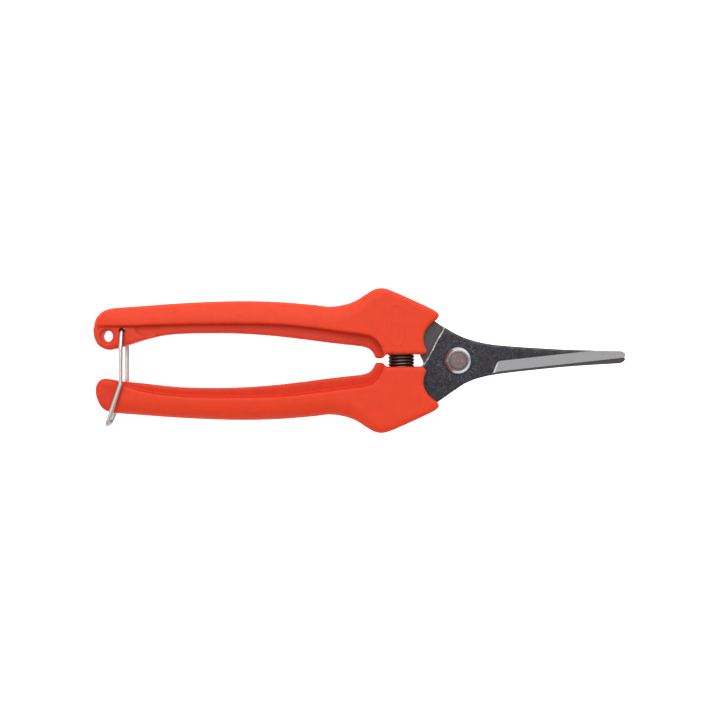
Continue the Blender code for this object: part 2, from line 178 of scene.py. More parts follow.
BLADE_SPINE = (
    (-4.9, 12.0), (-1.9, 10.15), (2.4, 8.1), (6.6, 6.8), (10.9, 5.9), (17.3, 5.2), (29.0, 4.4), (41.0, 3.8),
    (58.0, 3.45),
)
BLADE_TIP = ((58.0, 3.45), (59.5, 2.75), (59.85, 1.8), (59.5, 1.05))
BLADE_EDGE = ((59.5, 1.05), (12.6, -4.1))  # the line of the cutting edge, which ends short of its heel
BLADE_HEEL = ((15.6, -3.77), (12.6, -4.45), (7.0, -6.25), (2.4, -8.15))
FRONT_ROOT = ((2.4, -8.15), (-2.0, -11.1), (-7.0, -14.6))
REAR_ROOT = ((2.4, -8.0), (-2.0, -9.9), (-4.6, -11.75), (-7.6, -13.8))
TANG = (
    (-12.0, -17.4), (-24.0, -21.5), (-32.0, -18.6), (-44.0, -16.4), (-58.0, -16.6), (-60.0, -15.6),
    (-58.0, -14.6), (-44.0, -13.2), (-30.0, -12.4), (-24.0, -10.6), (-14.4, -10.2), (-13.9, -4.0),
    (-13.0, -2.0),
)
SHEARED_ROUND = (0.5, 0.2)
SPINE_ROUND = (0.8, 0.25)
HEEL_LINE = 0.08  # how far inside the heel the net has a line
LEFT_LINE = 0.03  # and inside the sheared left edge
TICKS = 36  # places for a stroke round the pivot
TICK_GROUP = 6  # the last place in each group is left empty
TICK_RADII = (5.6, 7.6)
TICK_SHORT = 0.7  # length of every other stroke, as a share of the rest
TICK_WANDER = 0.3  # how far strokes stray from even spacing, in places
TICK_BAR = 0.4  # half the length of the strokes that run round
TICK_HALF = 0.16
TICK_WALL = 0.1  # width of a stroke's sloping side
TICK_DEPTH = 0.08
PLAIN, BEVEL, SHEARED, INNER, CHAMFER, STRUCK = range(6)  # a blade's material slots

# Pivot
RIVET_END = 4.65
RIVET_R = 3.45
RIVET_FACE = (  # its end, from the middle outward: (radius, height over RIVET_END)
    (0.02, 0.0), (0.5, 0.0), (1.0, 0.0), (1.6, 0.0), (2.2, 0.0), (2.9, 0.0), (2.98, -0.05), (3.05, -0.13),
    (3.12, -0.05), (3.18, 0.0), (3.3, -0.02), (3.39, -0.1), (RIVET_R, -0.32),
)
RIVET_RIM = 3.08  # radius where its bright rim starts
RIVET_STROKES = ((-1.5, 1.1), (-0.1, 0.45), (1.4, 1.0))  # raised on its front end: (x, length)
RIVET_STROKE = (0.34, 0.08)  # how wide and how high a stroke is, half of it sunk in the end
COLLAR_LOW = 2.85
COLLAR_HIGH = 4.35
COLLAR_R = 4.7
COLLAR_BORE = 3.5
COLLAR_PROFILE = (
    (COLLAR_BORE, COLLAR_LOW), (4.62, COLLAR_LOW), (COLLAR_R, COLLAR_LOW + 0.08),
    (COLLAR_R, COLLAR_LOW + 0.4), (4.66, COLLAR_LOW + 0.5), (4.5, COLLAR_LOW + 0.68),
    (4.0, COLLAR_LOW + 1.12), (3.74, COLLAR_HIGH - 0.08), (3.66, COLLAR_HIGH - 0.02), (3.6, COLLAR_HIGH),
    (3.54, COLLAR_HIGH - 0.03), (COLLAR_BORE, COLLAR_HIGH - 0.12),
)
TURNED_SIDES = 96

# Return spring
SPRING_X = -19.97
SPRING_COIL_R = 4.15  # to the middle of the wire
SPRING_WIRE_R = 0.52
SPRING_TURNS = 14
SPRING_PITCH = 1.149
SPRING_POINTS = 40  # a turn
SPRING_SIDES = 14
POCKET_R = 4.95
POCKET_DEPTH = 8.86
POCKET_SIDES = 64

# Catch
WIRE_R = 0.76
LEG_Z = 6.24
PIN_Z = 0.9  # where the inturned ends stop
TURN_Z = 4.2  # where they turn down along the handle
SPREAD_Y = 4.6  # where the legs have reached their full spread
KNEE_Y = -8.4
LOOP_END = (-123.7, -22.55)  # the corner where the front leg turns down to the rear one
REAR_LOOP_END = (-124.85, -22.55)
WIRE_BEND = 1.6
BEND_STEPS = 10
WIRE_SIDES = 24
DOME_RINGS = (0.45, 0.8)  # round a wire's domed end, as shares of its radius

# Studio, in metres
CAMERA_LENS = 63.1
CAMERA_SENSOR = 36.0
CAMERA_OVER = (0.0002, 0.00018)
CAMERA_RISE = 0.45  # over the tool's middle plane
FLOOR_HALF = 3.0
FLOOR_GLOW = 1.0
ROOM_LIGHT = 0.6
LIGHTS = (("key", (0.0, 0.5, 0.7), 1.0, 7.6), ("fill", (-0.5, 0.1, 0.8), 0.6, 1.0))  # place, size, watts

# Curves and rounded edges
CURVE_STEP = 0.5  # about how far apart a curve's points are
RING_SHARES = (0.03, 0.12, 0.27, 0.47, 0.72, 1.0)  # of a rounding's width, where a net follows it
ROUND_SHARE = 0.985  # how much of a quarter circle a rounding takes, so that it has no upright foot


# ---- Outlines and distances ----

def spline(points):
    """A Catmull-Rom curve with its last point included. Two points give a straight line."""
    p = np.array(points, float)
    padded = np.vstack((2 * p[0] - p[1], p, 2 * p[-1] - p[-2]))
    made = []
    for a, b, c, d in zip(padded, padded[1:], padded[2:], padded[3:]):
        count = max(1, round(np.linalg.norm(c - b) / CURVE_STEP))
        for t in np.arange(count) / count:
            pull = (2 * a - 5 * b + 4 * c - d) * t**2 + (3 * b - a - 3 * c + d) * t**3
            made.append(0.5 * (2 * b + (c - a) * t + pull))
    return np.array(made + [p[-1]])


def joined(*curves):
    """One line through several curves that follow each other."""
    parts = [spline(curve) for curve in curves]
    return np.vstack([part[:-1] for part in parts[:-1]] + [parts[-1]])


def circle(centre, radius, sides=48):
    turns = np.linspace(0, 2 * math.pi, sides + 1)
    return np.column_stack((centre[0] + radius * np.cos(turns), centre[1] + radius * np.sin(turns)))


def anticlockwise(loop):
    """A closed loop, its first point repeated at its end, turned so that its inside is on the left."""
    x, y = loop[:, 0], loop[:, 1]
    return loop if np.sum(x[:-1] * y[1:] - x[1:] * y[:-1]) > 0 else loop[::-1]


def normals(line):
    """The direction to the left of a line at each of its points."""
    closed = np.allclose(line[0], line[-1])
    run = np.diff(line, axis=0)
    run /= np.linalg.norm(run, axis=1)[:, None]
    before = np.vstack((run[-1:] if closed else run[:1], run))
    after = np.vstack((run, run[:1] if closed else run[-1:]))
    along = before + after
    along /= np.linalg.norm(along, axis=1)[:, None]
    return np.column_stack((-along[:, 1], along[:, 0]))


def nearest(points, line, values=None):
    """Each point's distance to a line and, if the line has values, their blend at the nearest spot."""
    start, run = line[:-1], np.diff(line, axis=0)
    span = np.maximum((run**2).sum(1), 1e-12)
    far, found = [], []
    for block in np.array_split(points, max(1, len(points) // 1500)):
        across = block[:, None] - start
        t = np.clip((across * run).sum(2) / span, 0, 1)
        reach = ((across - t[..., None] * run) ** 2).sum(2)
        best = reach.argmin(1)
        row = np.arange(len(block))
        far.append(np.sqrt(reach[row, best]))
        if values is not None:
            part = t[row, best][:, None]
            found.append(values[best] * (1 - part) + values[best + 1] * part)
    far = np.concatenate(far)
    return far if values is None else (far, np.vstack(found))


def inside(points, loop):
    """Which points are inside a closed loop."""
    x, y = points[:, 0], points[:, 1]
    held = np.zeros(len(points), bool)
    for (x0, y0), (x1, y1) in zip(loop[:-1], loop[1:]):
        if y0 != y1:
            crosses = (y0 > y) != (y1 > y)
            held ^= crosses & (x < x0 + (x1 - x0) * (y - y0) / (y1 - y0))
    return held


def smooth_between(value, low, high):
    t = np.clip((value - low) / (high - low), 0, 1)
    return t * t * (3 - 2 * t)


def rounding(far, wide, deep):
    """How far a rounded edge has fallen at a distance from its foot: deep at the foot, nothing past wide."""
    q = ROUND_SHARE * (1 - np.clip(far / wide, 0, 1))
    return deep * (1 - np.sqrt(1 - q * q)) / (1 - math.sqrt(1 - ROUND_SHARE**2))


def beside(line, offsets, stretches=1.0):
    """Lines alongside a line, on its left where the offset is positive, less the parts that fold over it."""
    made = []
    for offset in offsets:
        reach = offset * np.broadcast_to(stretches, len(line))
        moved = line + normals(line) * reach[:, None]
        clear = nearest(moved, line) > 0.97 * np.abs(reach) - 1e-6
        piece = []
        for point, kept in zip(moved, clear):
            if kept:
                piece.append(point)
            if (not kept or point is moved[-1]) and piece:
                if len(piece) > 1:
                    made.append(np.array(piece))
                piece = []
        if len(piece) > 1:
            made.append(np.array(piece))
    return made


# ---- Meshes ----

def net(loop, holes, guides, spacing):
    """Triangles over a loop less its holes, with edges along the guides: (points, triangles)."""
    lines = [loop, *holes, *guides]
    low, high = loop.min(0), loop.max(0)
    rows = np.arange(low[1], high[1], spacing * 0.866)
    columns = np.arange(low[0], high[0], spacing)
    grid = np.array([(x + (i % 2) * spacing / 2, y) for i, y in enumerate(rows) for x in columns])
    grid = grid[inside(grid, loop)]
    for hole in holes:
        grid = grid[~inside(grid, hole)]
    for line in lines:
        grid = grid[nearest(grid, line) > 0.55 * spacing]
    points, edges = [], []
    for line in lines:
        closed = np.allclose(line[0], line[-1])
        first = len(points)
        kept = line[:-1] if closed else line
        points += [Vector(p) for p in kept]
        edges += [(first + i, first + i + 1) for i in range(len(kept) - 1)]
        if closed:
            edges.append((first + len(kept) - 1, first))
    points += [Vector(p) for p in grid]
    found, _, faces, *_ = delaunay_2d_cdt(points, edges, [], 0, 1e-5)
    found = np.array([tuple(p) for p in found])
    faces = np.array([face for face in faces if len(face) == 3])
    middles = found[faces].mean(1)
    held = inside(middles, loop)
    for hole in holes:
        held &= ~inside(middles, hole)
    faces = faces[held]
    used, renumbered = np.unique(faces, return_inverse=True)
    return found[used], renumbered.reshape(faces.shape)


def plate(name, flat, faces, top, bottom, rows, bulge=0.0, ridge=0.0):
    """A closed mesh between two heights over a net, its side walls in rows, bulging out between them."""
    turned = np.cross(flat[faces[:, 1]] - flat[faces[:, 0]], flat[faces[:, 2]] - flat[faces[:, 0]])
    faces = np.where((turned > 0)[:, None], faces, faces[:, ::-1])
    rim = set()
    for face in faces:
        for a, b in zip(face, np.roll(face, -1)):
            if (b, a) in rim:
                rim.remove((b, a))
            else:
                rim.add((a, b))
    outward = {}
    for a, b in rim:
        run = flat[b] - flat[a]
        side = np.array((run[1], -run[0])) / np.linalg.norm(run)
        outward[a] = outward.get(a, 0) + side
        outward[b] = outward.get(b, 0) + side
    count = len(flat)
    points = [np.column_stack((flat, top)), np.column_stack((flat, bottom))]
    polygons = [tuple(face) for face in faces] + [tuple(face[::-1] + count) for face in faces]
    ladder = {}
    extra = []
    for v, side in outward.items():
        side = side / max(np.linalg.norm(side), 1e-9)
        rungs = [v]
        for row in rows:
            push = bulge * (1 - (2 * row - 1) ** 2) + (ridge if row == 0.5 else 0.0)
            rungs.append(2 * count + len(extra))
            extra.append((*(flat[v] + side * push), top[v] + (bottom[v] - top[v]) * row))
        ladder[v] = rungs + [v + count]
    for a, b in rim:
        for i in range(len(rows) + 1):
            polygons.append((ladder[b][i], ladder[a][i], ladder[a][i + 1], ladder[b][i + 1]))
    points = np.vstack(points + ([np.array(extra)] if extra else []))
    return new_piece(name, points, polygons)


def new_piece(name, points, polygons):
    """A mesh object from points in millimetres from the pivot."""
    mesh = bpy.data.meshes.new(name)
    mesh.from_pydata([tuple(p) for p in points], [], [tuple(int(i) for i in p) for p in polygons])
    mesh.transform(Matrix.Translation(PIVOT) @ Matrix.Scale(MM, 4))
    made = bpy.data.objects.new(name, mesh)
    bpy.context.scene.collection.objects.link(made)
    return made


def finish_shading(piece, angle=30):
    bm = bmesh.new()
    bm.from_mesh(piece.data)
    bmesh.ops.recalc_face_normals(bm, faces=bm.faces)
    bm.to_mesh(piece.data)
    bm.free()
    piece.data.shade_smooth()
    piece.data.set_sharp_from_angle(angle=math.radians(angle))


def cut_out(piece, cutters):
    """Takes the cutters' shapes out of the piece and removes the cutters."""
    for cutter in cutters:
        finish_shading(cutter)
        modifier = piece.modifiers.new("cut", "BOOLEAN")
        modifier.operation = "DIFFERENCE"
        modifier.solver = "EXACT"
        modifier.object = cutter
    bpy.context.view_layer.update()
    shaped = bpy.data.meshes.new_from_object(piece.evaluated_get(bpy.context.evaluated_depsgraph_get()))
    piece.modifiers.clear()
    piece.data = shaped
    for cutter in cutters:
        bpy.data.objects.remove(cutter)


def turned(name, profile, closed=False):
    """A profile of (radius, height) points swept round the pivot. An open one is closed by flat ends."""
    sides = TURNED_SIDES
    turns = np.linspace(0, 2 * math.pi, sides, endpoint=False)
    points = [(r * math.cos(t), r * math.sin(t), z) for r, z in profile for t in turns]
    polygons = []
    rings = list(range(len(profile)))
    for low, high in zip(rings, rings[1:] + (rings[:1] if closed else [])):
        for i in range(sides):
            j = (i + 1) % sides
            polygons.append((low * sides + i, low * sides + j, high * sides + j, high * sides + i))
    if not closed:
        polygons.append(tuple(range(sides))[::-1])
        polygons.append(tuple((len(profile) - 1) * sides + i for i in range(sides)))
    return new_piece(name, points, polygons)


def wire(name, points, radius, sides):
    """A round wire along the points, with domed ends."""
    line = np.array([tuple(p) for p in points])
    run = np.gradient(line, axis=0)
    run /= np.linalg.norm(run, axis=1)[:, None]
    side = np.cross(run[0], (0.0, 0.0, 1.0) if abs(run[0][2]) < 0.9 else (0.0, 1.0, 0.0))
    spots, radii, ways, sides_at = [], [], [], []
    for place, way in zip(line, run):
        side = side - way * side.dot(way)
        side /= np.linalg.norm(side)
        spots.append(place)
        radii.append(radius)
        ways.append(way)
        sides_at.append(side)
    for end, outward in ((0, -1), (-1, 1)):
        for share in DOME_RINGS:
            place = line[end] + ways[end] * outward * radius * share
            ring = (place, radius * math.sqrt(1 - share**2), ways[end], sides_at[end])
            for values, value in zip((spots, radii, ways, sides_at), ring):
                values.insert(0 if end == 0 else len(values), value)
    made, polygons = [], []
    turns = np.linspace(0, 2 * math.pi, sides, endpoint=False)
    for place, reach, way, right in zip(spots, radii, ways, sides_at):
        up = np.cross(way, right)
        made += [place + reach * (math.cos(t) * right + math.sin(t) * up) for t in turns]
    for ring in range(len(spots) - 1):
        for i in range(sides):
            j = (i + 1) % sides
            low, high = ring * sides, (ring + 1) * sides
            polygons.append((low + i, low + j, high + j, high + i))
    polygons.append(tuple(range(sides))[::-1])
    polygons.append(tuple((len(spots) - 1) * sides + i for i in range(sides)))
    return new_piece(name, made, polygons)


# ---- Handles ----

def averaged(x, stations):
    """A value given at stations along x, with the corners between them eased."""
    places, values = zip(*stations)
    return np.mean([np.interp(x + shift, places, values) for shift in np.linspace(-EASE, EASE, 9)], axis=0)


def edge_rounds(line, outer_count):
    """How wide and how deep the body's edge is rounded at each point of its line, the outer edge first."""
    wide = np.interp(line[:, 0], *zip(*ROUND_WIDE))
    deep = np.interp(line[:, 0], *zip(*ROUND_DEEP))
    wide[outer_count:], deep[outer_count:] = HEAD_ROUND
    count = 2 * ROUND_BLEND + 1
    blend = np.ones(count) / count
    return np.column_stack([
        np.convolve(np.pad(values, ROUND_BLEND, mode="edge"), blend, mode="valid") for values in (wide, deep)
    ])


def handle_net(side):
    """The lines that a handle's shape hangs on."""
    end = UPPER_END if side > 0 else LOWER_END
    tab = UPPER_TAB if side > 0 else LOWER_TAB
    outer = joined(end, OUTER_EDGE)
    corner = FRONT_CORNER if side > 0 else LOWER_CORNER
    body = joined(end, OUTER_EDGE, FRONT_CUT, corner, SPRING_FACE)
    flange = spline(STOP_LUG + INNER_EDGE[1:] + tab)
    step = joined(STEP, UPPER_STEP_END) if side > 0 else joined(STEP, LOWER_STEP_END, SHOULDER)
    silhouette = anticlockwise(np.vstack((body[:-1], flange)))
    return body, edge_rounds(body, len(outer)), flange, step, silhouette


def mark_lines():
    """The oblong border's middle line and the bars in it."""
    cx, cy = MARK_CENTRE
    half = MARK_STRAIGHT
    turns = np.linspace(0, math.pi, 13)
    top = [(cx + MARK_RADIUS * math.cos(t), cy + half + MARK_RADIUS * math.sin(t)) for t in turns]
    bottom = [(cx - MARK_RADIUS * math.cos(t), cy - half - MARK_RADIUS * math.sin(t)) for t in turns]
    border = np.array(top + bottom + top[:1])
    bars = [(cx, cy + half * (2 * i / (MARK_BARS - 1) - 1)) for i in range(MARK_BARS)]
    return border, bars


def mark_rise(flat):
    """How far each point sinks, so that only the oblong and its bars reach the head's full height."""
    border, bars = mark_lines()
    line_rise = 1 - smooth_between(nearest(flat, border), MARK_LINE / 2, MARK_LINE)
    bar_rise = [smooth_between(box_depth(flat, bar, MARK_BAR_HALF), 0, MARK_LINE / 2) for bar in bars]
    return MARK_RISE * (np.maximum(line_rise, np.max(bar_rise, axis=0)) - 1)


def box_loop(centre, half, turn=0.0):
    """A rectangle's closed loop."""
    c, s = math.cos(turn), math.sin(turn)
    corners = [(-1, -1), (1, -1), (1, 1), (-1, 1), (-1, -1)]
    made = [(half[0] * u, half[1] * v) for u, v in corners]
    return np.array([(centre[0] + c * u - s * v, centre[1] + s * u + c * v) for u, v in made])


def box_depth(points, centre, half, turn=0.0):
    """How far each point is inside a rectangle, negative outside."""
    c, s = math.cos(turn), math.sin(turn)
    away = points - np.array(centre)
    u = np.abs(away[:, 0] * c + away[:, 1] * s)
    v = np.abs(away[:, 1] * c - away[:, 0] * s)
    return np.minimum(half[0] - u, half[1] - v)


def flange_height(points, side):
    """The flange's height over the middle plane before its edges are rounded."""
    if side > 0:
        groove = spline(GROOVE)
        low = inside(points, np.vstack((groove, GROOVE_FAR, groove[:1])))
        away = nearest(points, groove) * np.where(low, -1, 1)
        return FLANGE_HALF + TAB_RISE * smooth_between(away, -TAB_BLEND / 2, TAB_BLEND / 2)
    return FLANGE_HALF + (END_HALF - FLANGE_HALF) * smooth_between(-points[:, 0], *END_FROM)


def flange_rounds(line, side):
    """How wide and how deep the flange's edge is rounded at each point of its line."""
    tab = TAB_ROUND if side > 0 else END_ROUND
    share = smooth_between(-line[:, 0], *FLANGE_ROUND_TO)[:, None]
    return np.array(FLANGE_ROUND) * (1 - share) + np.array(tab) * share


def round_holes():
    """The upper handle's holes: ((centre, radius), (how wide, how deep their edges are rounded)) each."""
    return (LANYARD_HOLE, HOLE_ROUND), (PIN_HOLE, PIN_HOLE_ROUND)


def handle_guides(side, body, rounds, flange, edge, step, step_rounds, silhouette):
    """The lines that a handle's net follows."""
    third = len(body) // 3
    inward = 1 if inside(body[third][None] + normals(body)[third] * 0.5, silhouette)[0] else -1
    guides = beside(body, [inward * share for share in RING_SHARES], rounds[:, 0])
    guides += beside(flange, [inward * share for share in RING_SHARES[1::2]], edge[:, 0])
    high_side = outside_of_step(step)
    guides += [step]
    guides += beside(step, [high_side * share for share in RING_SHARES], step_rounds[:, 0])
    walls = (WALL_DRAFT, WALL_DRAFT + FILLET / 3, WALL_DRAFT + FILLET)
    guides += beside(step, [-high_side * d for d in walls])
    if side > 0:
        for (centre, radius), (wide, _) in round_holes():
            guides += [circle(centre, radius + wide * share) for share in RING_SHARES[1::2]]
        guides += beside(spline(GROOVE), [TAB_BLEND * share for share in (-0.5, -0.25, 0.001, 0.25, 0.5)])
        border, bars = mark_lines()
        guides += [border]
        guides += beside(border, [-MARK_LINE, -MARK_LINE / 2, MARK_LINE / 2, MARK_LINE])
        for bar in bars:
            guides += [box_loop(bar, MARK_BAR_HALF)]
            guides += [box_loop(bar, [h - MARK_LINE / 2 for h in MARK_BAR_HALF])]
    return guides


def handle(name, side):
    """One handle, and which of its faces are on its flange, where the darker copy of the plastic paints
    shade.
    """
    body, rounds, flange, step, silhouette = handle_net(side)
    loop = silhouette + normals(silhouette) * WALL_INSET
    loop[-1] = loop[0]
    shoulder_share = np.zeros(len(step)) if side > 0 else smooth_between(-step[:, 0], *SHOULDER_FROM)
    step_rounds = np.array(STEP_ROUND) + shoulder_share[:, None] * (np.array(SHOULDER_ROUND) - STEP_ROUND)
    edge = flange_rounds(flange, side)
    guides = handle_guides(side, body, rounds, flange, edge, step, step_rounds, silhouette)
    holes = [circle(*hole) for hole, _ in round_holes()] if side > 0 else []
    flat, faces = net(loop, holes, guides, HANDLE_MESH)
    right, top = WELL_OUT
    body_loop = np.vstack((step, [(step[-1][0], top), (right, top), (right, step[0][1])], step[:1]))
    to_step, radii = nearest(flat, step, step_rounds)
    to_body, outer_radii = nearest(flat, body, rounds)
    to_flange, flange_radii = nearest(flat, flange, edge)
    to_body = np.maximum(to_body - WALL_INSET, 0)
    to_flange = np.maximum(to_flange - WALL_INSET, 0)
    high = averaged(flat[:, 0], BODY_HALF) - rounding(to_body, outer_radii[:, 0], outer_radii[:, 1])
    low = flange_height(flat, side) - rounding(to_flange, flange_radii[:, 0], flange_radii[:, 1])
    low -= FLANGE_DISH * to_flange / (to_flange + to_step + 0.01)
    if side > 0:
        deepens, runs_out = TROUGH_REACH
        reach = smooth_between(-flat[:, 0], *deepens) * (1 - smooth_between(-flat[:, 0], *runs_out))
        low -= TROUGH_DEPTH * reach * (1 - np.clip(to_step / TROUGH_WIDTH, 0, 1)) ** 2
        for (centre, radius), (wide, deep) in round_holes():
            low -= rounding(np.linalg.norm(flat - np.array(centre), axis=1) - radius, wide, deep)
        high += mark_rise(flat)
    wall_top = high - radii[:, 1]
    over_body = high - rounding(to_step, radii[:, 0], radii[:, 1])
    fillet = FILLET * (1 - np.clip((to_step - WALL_DRAFT) / FILLET, 0, 1)) ** 2
    share = np.clip(to_step / WALL_DRAFT, 0, 1)
    foot = np.minimum(low + fillet, wall_top)
    below = np.where(to_step < WALL_DRAFT, wall_top + (foot - wall_top) * share, foot)
    height = np.where(inside(flat, body_loop) | (to_step < 1e-3), over_body, below)
    made = plate(name, flat, faces, height, -height, WALL_ROWS, WALL_BULGE, PARTING_RIDGE)
    if side < 0:
        made.data.transform(Matrix.Diagonal((1, -1, 1, 1)))
    finish_shading(made)
    cut_out(made, [slot_cutter(side), pocket_cutter(side)])
    finish_shading(made)
    centres = np.array([((Vector(p.center) - PIVOT) / MM)[:2] for p in made.data.polygons]) * (1, side)
    return made, np.array(~inside(centres, body_loop), np.int32)


def outside_of_step(step):
    """1 where the thick body is on the left of the step line, else -1."""
    middle = len(step) // 2
    return 1 if normals(step)[middle][1] > 0 else -1


def slot_cutter(side):
    """The room for the tang in a handle."""
    loop = anticlockwise(blade_loop(side))
    wide = loop - normals(loop) * SLOT_GAP
    wide[-1] = wide[0]
    flat, faces = net(wide, [], [], SLOT_MESH)
    ones = np.ones(len(flat))
    far, near = ones * (BLADE_TOP + SLOT_GAP), ones * (BLADE_LIFT - SLOT_GAP)
    return plate_at_side("slot", flat, faces, far, near, side)


def pocket_cutter(side):
    """The round pocket for one end of the spring."""
    sides = POCKET_SIDES
    turns = np.linspace(0, 2 * math.pi, sides, endpoint=False)
    points = [
        (SPRING_X + POCKET_R * math.cos(t), side * y, POCKET_R * math.sin(t))
        for y in (0.0, POCKET_DEPTH) for t in turns
    ]
    polygons = [(i, (i + 1) % sides, sides + (i + 1) % sides, sides + i) for i in range(sides)]
    polygons += [tuple(range(sides))[::-1], tuple(range(sides, 2 * sides))]
    return new_piece("pocket", points, polygons)


# ---- Blades ----

def blade_loop(side):
    """A blade's closed outline in its own frame, where every blade lies as the front one does."""
    left, root = (FRONT_LEFT, FRONT_ROOT) if side < 0 else (REAR_LEFT, REAR_ROOT)
    edge = (BLADE_EDGE[0], BLADE_HEEL[0])
    steel = joined(left, BLADE_SPINE, BLADE_TIP, edge, BLADE_HEEL)
    tang = spline(root + TANG)
    if side > 0:
        c, s = math.cos(-2 * BLADE_TILT), math.sin(-2 * BLADE_TILT)
        x, y = tang[:, 0], -tang[:, 1]
        tang = np.column_stack((c * x - s * y, -(s * x + c * y)))
    first = 1 if side < 0 else 0
    return np.vstack((steel, tang[first:-1], steel[:1]))


def plate_at_side(name, flat, faces, top, bottom, side, rows=()):
    """A plate in a blade's own frame, moved to where the front (-1) or the rear (1) blade is."""
    made = plate(name, flat, faces, top, bottom, rows)
    if side > 0:
        turn = Matrix.Rotation(2 * BLADE_TILT, 4, "Z") @ Matrix.Rotation(math.pi, 4, "X")
        made.data.transform(Matrix.Translation(PIVOT) @ turn @ Matrix.Translation(-PIVOT))
    return made


def bevel_line():
    """The border of the ground bevel: up its run-out, round a corner and along under the spine.

    Gives the border, its run-out, a loop round the ground area, the heel and the way across the blade.
    """
    tip, heel = np.array(BLADE_EDGE[0]), np.array(BLADE_EDGE[1])
    along = (tip - heel) / np.linalg.norm(tip - heel)
    across = np.array((-along[1], along[0]))
    start = heel + along * (BEVEL_START - BEVEL_LEAN) - across
    corner = heel + along * (BEVEL_START + BEVEL_LEAN * BEVEL_WIDTH) + across * BEVEL_WIDTH
    rising = (corner - start) / np.linalg.norm(corner - start)
    bend = [
        (1 - t) ** 2 * (corner - rising * BEVEL_CORNER) + 2 * t * (1 - t) * corner
        + t * t * (corner + along * BEVEL_CORNER) for t in np.linspace(0, 1, 7)
    ]
    end = corner + along * BEVEL_LENGTH
    run_out = np.vstack((spline((start, corner - rising * BEVEL_CORNER))[:-1], bend))
    border = np.vstack((run_out, spline((corner + along * BEVEL_CORNER, end))[1:]))
    below = end - across * BEVEL_SPARE[0]
    under = start - across * BEVEL_SPARE[1]
    return border, run_out, np.vstack((border, [below, under], border[:1])), heel, across


def tick_places():
    """Where short strokes are stamped round the pivot, in worn groups: (centre, half sizes, turn) each."""
    low, high = TICK_RADII
    made = []
    for i in range(TICKS):
        if i % TICK_GROUP == TICK_GROUP - 1:
            continue
        turn = 2 * math.pi * (i + TICK_WANDER * math.sin(5 * i)) / TICKS
        way = np.array((math.cos(turn), math.sin(turn)))
        reach = (high - low) / 2 * (1.0 if i % 2 else TICK_SHORT)
        made.append(((low + reach) * way, (reach, TICK_HALF), turn))
        if i % 3 == 1:
            across = turn + math.pi / 2
            spot = (low if i % 2 else low + 2 * reach) * way
            spot = spot + TICK_BAR * np.array((math.cos(across), math.sin(across)))
            made.append((spot, (TICK_BAR, TICK_HALF), across))
    return made


def blade(name, side):
    """One blade with its tang, and the material slot of each of its faces."""
    loop = anticlockwise(blade_loop(side))
    left, spine = spline(FRONT_LEFT if side < 0 else REAR_LEFT), joined(BLADE_SPINE, BLADE_TIP)
    border, run_out, bevel_loop, heel, across = bevel_line()
    hole = circle((0.0, 0.0), PIVOT_HOLE_R, 72)
    heel_line = spline(BLADE_HEEL)
    guides = [border] + beside(run_out, [-BEVEL_RUN_OUT * share for share in (0.1, 0.3, 0.6, 1.0)])
    guides += beside(left, [-SHEARED_ROUND[0]]) + beside(left, [-LEFT_LINE])
    guides += beside(spine, [-SPINE_ROUND[0] * share for share in (0.12, 0.45, 1.0)])
    guides += beside(heel_line, [-HEEL_LINE])
    ticks = tick_places() if side < 0 else []
    for centre, half, turn in ticks:
        guides += [box_loop(centre, half, turn)]
        guides += [box_loop(centre, [h - TICK_WALL for h in half], turn)]
    flat, faces = net(loop, [hole], guides, BLADE_MESH)
    edge_far = (flat - heel) @ across
    slope = (BLADE_TOP - EDGE_TOP) / BEVEL_WIDTH
    ground = inside(flat, bevel_loop)
    run = np.clip(nearest(flat, run_out) / BEVEL_RUN_OUT, 0, 1)
    cut = np.clip(BLADE_TOP - EDGE_TOP - slope * edge_far, 0, None) * np.sqrt(1 - (1 - run) ** 2)
    chamfer = SHEARED_ROUND[1] * (1 - np.clip(nearest(flat, left) / SHEARED_ROUND[0], 0, 1))
    top = BLADE_TOP - np.where(ground, cut, 0.0) - chamfer
    top -= rounding(nearest(flat, spine), *SPINE_ROUND)
    for centre, half, turn in ticks:
        top -= TICK_DEPTH * smooth_between(box_depth(flat, centre, half, turn), 0, TICK_WALL)
    top = np.maximum(top, BLADE_LIFT + BLADE_LEAST)
    bottom = np.full(len(flat), BLADE_LIFT)
    made = plate_at_side(name, flat, faces, top, bottom, side, (0.5,))
    middles = flat[faces].mean(1)
    marks = np.full(len(made.data.polygons), PLAIN, np.int32)
    marks[len(faces): 2 * len(faces)] = INNER
    outer = marks[: len(faces)]
    outer[inside(middles, bevel_loop)] = BEVEL
    outer[nearest(middles, left) < SHEARED_ROUND[0]] = SHEARED
    outer[(outer == PLAIN) & (nearest(middles, spine) < SPINE_ROUND[0])] = CHAMFER
    for centre, half, turn in ticks:
        outer[box_depth(middles, centre, half, turn) > 0.03] = STRUCK
    return made, marks


# ---- Pivot, spring and catch ----

def rivet():
    """A turned rivet with a bright rim round each end face, and which of its faces are bright."""
    low = [(r, -RIVET_END - z) for r, z in RIVET_FACE]
    high = [(r, RIVET_END + z) for r, z in RIVET_FACE[::-1]]
    made = turned("rivet_turned", low + high)
    bm = bmesh.new()
    bm.from_mesh(made.data)
    wide, rise = RIVET_STROKE
    for x, tall in RIVET_STROKES:
        place = PIVOT + Vector((x, 0.0, RIVET_END)) * MM
        size = Matrix.Diagonal((wide, tall, rise, 1 / MM)) * MM
        bmesh.ops.create_cube(bm, size=1.0, matrix=Matrix.Translation(place) @ size)
    bm.to_mesh(made.data)
    bm.free()
    marks = []
    for polygon in made.data.polygons:
        away = Vector(polygon.center) - PIVOT
        raised = away.z / MM > RIVET_END + 0.01
        marks.append(int(raised or (abs(polygon.normal.z) > 0.5 and away.xy.length / MM > RIVET_RIM)))
    return made, np.array(marks, np.int32)


def collar(name, side):
    """A bright ring with a polished bevel outside and a rolled lip inside."""
    return turned(name, [(r, side * z) for r, z in COLLAR_PROFILE], closed=True)


